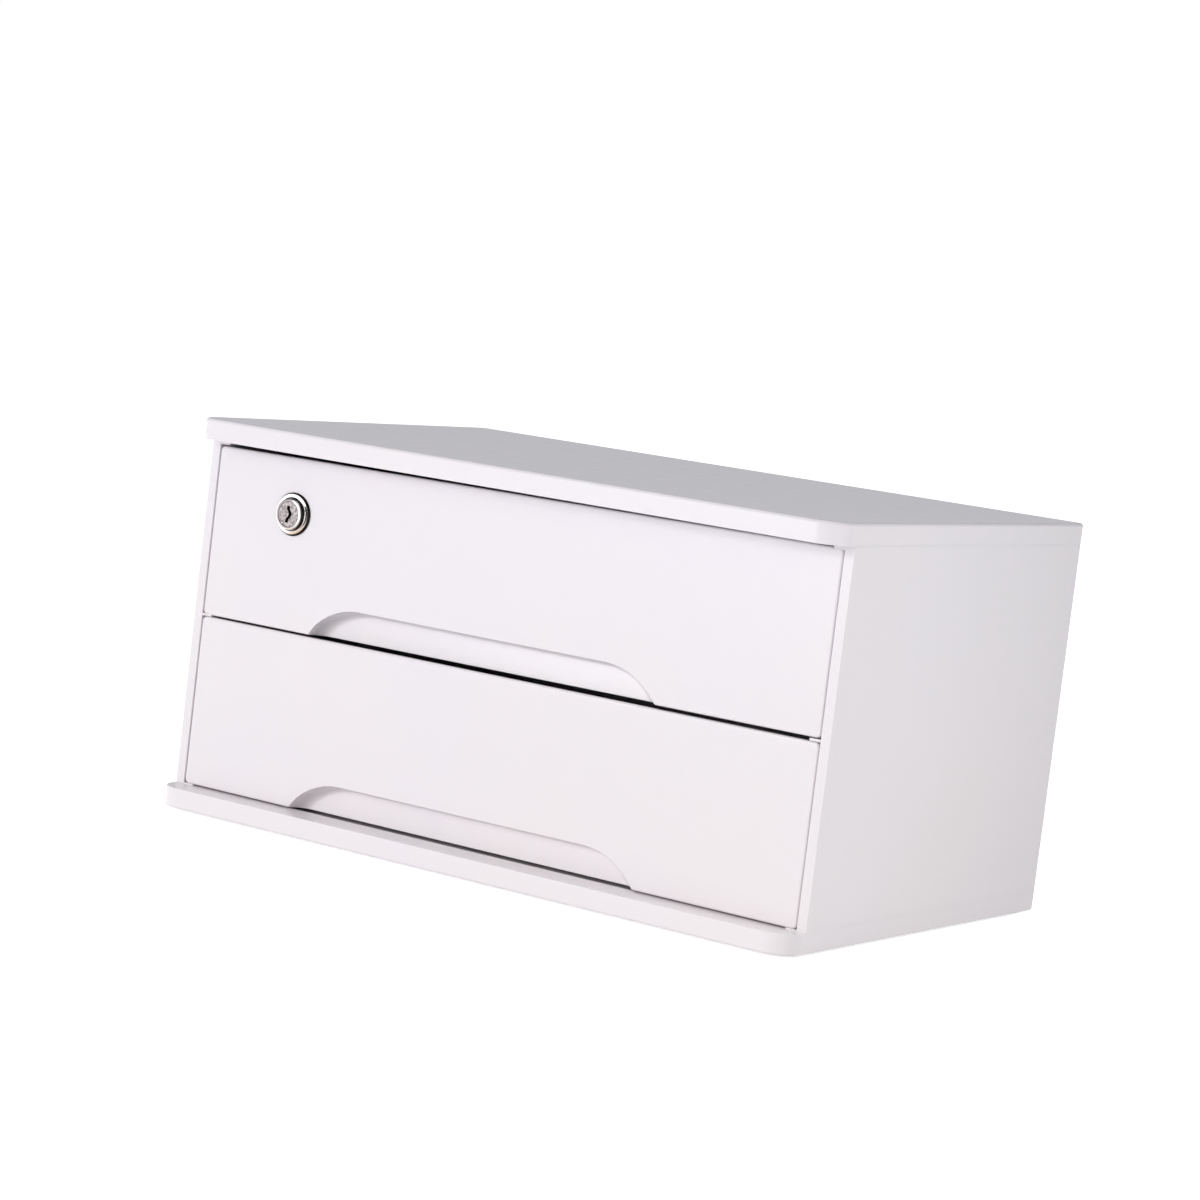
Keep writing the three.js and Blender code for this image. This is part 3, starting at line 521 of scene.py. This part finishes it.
def edge_rounded_copy(node, width):
    piece = merged_copy(node)
    if node in HOUSING_PANELS:
        tighten_rear_corners(piece)
    if node == "base_panel":
        cut_front_groove(piece)
    if node in FRONT_SHIFTS:
        fit_front_gaps(piece, node)
    weigh_edges(piece)
    bevel = piece.modifiers.new("edges", "BEVEL")
    bevel.width = width
    bevel.segments = 2
    bevel.limit_method = "WEIGHT"
    bevel.use_clamp_overlap = True
    bpy.ops.object.modifier_apply(modifier="edges")
    bpy.ops.object.shade_smooth_by_angle(angle=SMOOTH_ANGLE)
    normals = piece.modifiers.new("flat_faces", "WEIGHTED_NORMAL")
    normals.keep_sharp = True
    normals.weight = 100
    bpy.ops.object.modifier_apply(modifier="flat_faces")
    piece.select_set(False)
    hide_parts(node)
    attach(piece, body_with(node))
    give_material(piece, finish_of(node))
    return piece


print("seams at", [round(height / MM, 1) for height in SEAM_LEVELS], "mm")

# %% [markdown]
# ## Dress the panels and the lock
# The panels and fronts share one edge radius. The lock's parts are small, so theirs is finer.

# %% Dress the panels and the lock
PANEL_EDGE = 0.3 * MM
ROUNDED = [(node, "white_abs", PANEL_EDGE) for node in (*HOUSING_PANELS, *FRONT_SHIFTS)]
ROUNDED += [("lock_barrel", "lock_chrome", 0.25 * MM), ("lock_plug", "lock_satin", 0.15 * MM)]

for node, slot, width in ROUNDED:
    dressed = edge_rounded_copy(node, width)
    print(dressed.name, len(dressed.data.polygons), "faces")

# %% [markdown]
# ## Floor
# The photograph has a plain white surface that runs into a white background. The floor is a wide
# plane that adds a little light of its own, but only where the camera or a mirror looks at it, so
# it stays white while the cabinet's shadow still shows.

# %% Floor
FLOOR_WIDTH = 60.0
FLOOR_GLOW = 0.75


def white_stage_material(name, glow):
    material, tree, shader = new_material(name)
    shader.inputs["Base Color"].default_value = (0.94, 0.94, 0.95, 1.0)
    shader.inputs["Roughness"].default_value = 0.9
    shader.inputs["Emission Color"].default_value = (1.0, 1.0, 1.0, 1.0)
    path = tree.nodes.new("ShaderNodeLightPath")
    seen = tree.nodes.new("ShaderNodeMath")
    seen.operation = "ADD"
    tree.links.new(path.outputs["Is Camera Ray"], seen.inputs[0])
    tree.links.new(path.outputs["Is Glossy Ray"], seen.inputs[1])
    amount = tree.nodes.new("ShaderNodeMath")
    amount.operation = "MULTIPLY"
    amount.inputs[1].default_value = glow
    tree.links.new(seen.outputs["Value"], amount.inputs[0])
    tree.links.new(amount.outputs["Value"], shader.inputs["Emission Strength"])
    return material


bpy.ops.mesh.primitive_plane_add(size=FLOOR_WIDTH, location=(0.0, 0.0, 0.0))
floor = bpy.context.object
floor.name = "floor"
give_material(floor, white_stage_material("white_floor", FLOOR_GLOW))
floor.select_set(False)
print("floor", floor.dimensions[0], "m wide")

# %% [markdown]
# ## Sky
# The sky is weak, and white only where the camera looks at it. In reflections it is a pale, cool
# horizon under a dark ceiling. The glossy top mirrors the horizon, and the chrome of the lock
# mirrors the dark ceiling on top of the black crescents painted into its colour.

# %% Sky
HORIZON_END = 0.2
CEILING_START = 0.6


def studio_world(ambient, horizon, ceiling):
    world = bpy.data.worlds.new("studio_world")
    world.use_nodes = True
    tree = world.node_tree

    def link(value, socket):
        if isinstance(value, float):
            socket.default_value = value
        else:
            tree.links.new(value, socket)

    def combine(operation, first, second):
        node = tree.nodes.new("ShaderNodeMath")
        node.operation = operation
        link(first, node.inputs[0])
        link(second, node.inputs[1])
        return node.outputs["Value"]

    path = tree.nodes.new("ShaderNodeLightPath").outputs
    direction = tree.nodes.new("ShaderNodeTexCoord")
    parts = tree.nodes.new("ShaderNodeSeparateXYZ")
    tree.links.new(direction.outputs["Generated"], parts.inputs["Vector"])
    mirrored = tree.nodes.new("ShaderNodeMapRange")
    mirrored.inputs["From Min"].default_value = HORIZON_END
    mirrored.inputs["From Max"].default_value = CEILING_START
    mirrored.inputs["To Min"].default_value = horizon
    mirrored.inputs["To Max"].default_value = ceiling
    link(parts.outputs["Z"], mirrored.inputs["Value"])
    tint = tree.nodes.new("ShaderNodeMix")
    tint.data_type = "RGBA"
    tint.inputs["A"].default_value = (1.0, 1.0, 1.0, 1.0)
    tint.inputs["B"].default_value = (0.93, 0.94, 1.0, 1.0)
    link(path["Is Glossy Ray"], tint.inputs["Factor"])
    link(tint.outputs["Result"], tree.nodes["Background"].inputs["Color"])
    glossy = combine("MULTIPLY", path["Is Glossy Ray"], mirrored.outputs["Result"])
    seen = combine("MAXIMUM", path["Is Camera Ray"], path["Is Transmission Ray"])
    diffuse = combine("MULTIPLY", path["Is Diffuse Ray"], ambient)
    link(combine("MAXIMUM", combine("MAXIMUM", glossy, seen), diffuse),
         tree.nodes["Background"].inputs["Strength"])
    bpy.context.scene.world = world


studio_world(ambient=0.5, horizon=0.58, ceiling=0.05)
bpy.context.scene.view_settings.view_transform = "Standard"
print("sky ready")

# %% [markdown]
# ## Lamps
# The front of the cabinet is the brightest side, the right side is a step darker and fades
# towards the back, and the top is darker still. A large soft box stands low at the front left, so
# the band along the top throws only a short shade. A small one stands close to the right side,
# because only a near lamp fades so clearly over 25 cm. A third one behind the cabinet at the left
# keeps its back from looking grey. It is left out of reflections, because the glossy top would
# mirror it.

# %% Lamps
def soft_box(name, place, target, width, height, power):
    light = bpy.data.lights.new(name, "AREA")
    light.shape = "RECTANGLE"
    light.size = width
    light.size_y = height
    light.energy = power
    lamp = bpy.data.objects.new(name, light)
    lamp.location = place
    direction = Vector(target) - Vector(place)
    lamp.rotation_euler = direction.to_track_quat("-Z", "Y").to_euler()
    lamp.visible_camera = False
    bpy.context.scene.collection.objects.link(lamp)
    return lamp


front_lamp = soft_box("front_box", place=(-1.1, -2.8, 0.74), target=MIDDLE,
                      width=1.4, height=1.3, power=40.0)
right_lamp = soft_box("right_box", place=(0.49, -0.1, 0.2), target=(0.19, -0.06, 0.1),
                      width=0.3, height=0.3, power=0.32)
rear_lamp = soft_box("rear_box", place=(-2.0, 2.4, 0.3), target=(0.0, 0.1, 0.1),
                     width=1.2, height=0.6, power=24.0)
rear_lamp.visible_glossy = False
for lamp in (front_lamp, right_lamp, rear_lamp):
    print(lamp.name, round(lamp.data.energy, 2), "W")
